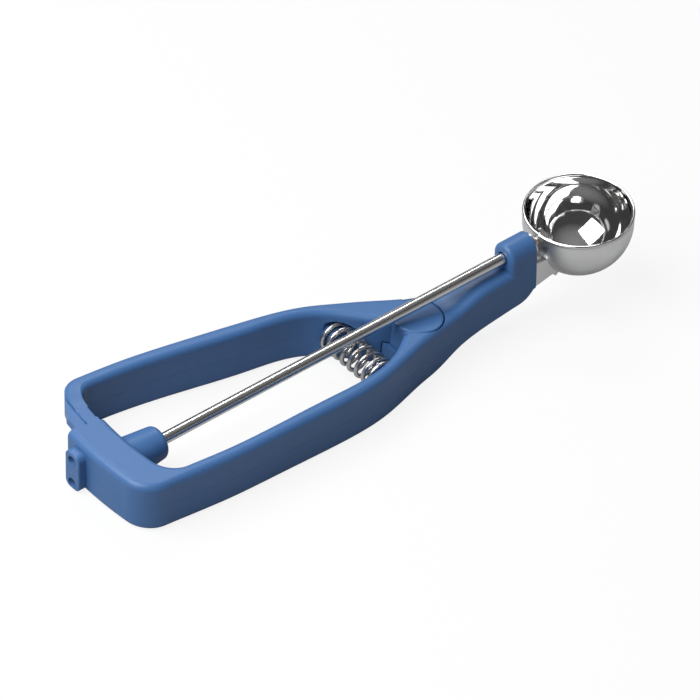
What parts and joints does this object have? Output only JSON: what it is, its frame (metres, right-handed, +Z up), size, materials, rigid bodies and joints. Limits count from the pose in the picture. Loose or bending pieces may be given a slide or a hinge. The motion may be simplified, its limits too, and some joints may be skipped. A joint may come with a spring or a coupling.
{
  "type": "lever ice cream scoop",
  "caption": "Squeeze-handle ice cream scoop: squeezing the sprung handle arm turns a long shaft through a rack and pinion and sweeps a scraper through the bowl.",
  "frame": {"origin": "on the hinge axis of the squeeze arm, in the flat underside of the handle", "axes": "+X towards the bowl, +Y towards the moving arm, +Z up from the flat underside"},
  "size_m": [0.2278, 0.0597, 0.039],
  "materials": {
    "handle_plastic": "satin moulded blue plastic",
    "bowl_steel": "satin stainless steel",
    "polished_steel": "polished stainless steel",
    "spring_steel": "bright drawn wire",
    "gear_steel": "machined",
    "brass": "machined",
    "nylon": "plain"
  },
  "bodies": {
    "body": {"handle_body": "handle_plastic", "gear_cover": "handle_plastic", "cover_screws": "polished_steel", "pivot_washer": "nylon", "return_spring": "spring_steel", "rear_bush": "brass", "boss_bush": "brass", "front_bush": "brass", "front_washer": "polished_steel", "bowl_tang": "bowl_steel", "tang_pins": "polished_steel", "scoop_bowl": "bowl_steel", "scraper_rivet": "polished_steel", "rivet_washer": "polished_steel"},
    "lever": {"lever_arm": "handle_plastic", "pivot_screw": "polished_steel", "pivot_insert": "brass", "drive_rack": "gear_steel", "rack_pins": "gear_steel"},
    "shaft": {"drive_shaft": "polished_steel", "drive_pinion": "gear_steel", "pinion_pin": "gear_steel", "scraper_blade": "polished_steel", "scraper_key": "polished_steel"}
  },
  "joints": [
    {"name": "lever_squeeze", "type": "hinge", "parent": "body", "child": "lever", "pos_m": [0, 0, 0], "axis": [0, 0, 1], "range_deg": [0, 3.92], "stiffness_Nm_per_rad": 4, "springref_deg": -5.73, "deforming": ["return_spring"]},
    {"name": "shaft_spin", "type": "hinge", "parent": "body", "child": "shaft", "pos_m": [0.06805, 0, 0.03303], "axis": [0.9921, 0, 0.1253], "range_deg": [0, 144.5]}
  ],
  "couplings": [
    {"joint": "shaft_spin", "follows": "lever_squeeze", "ratio": 36.714}
  ]
}
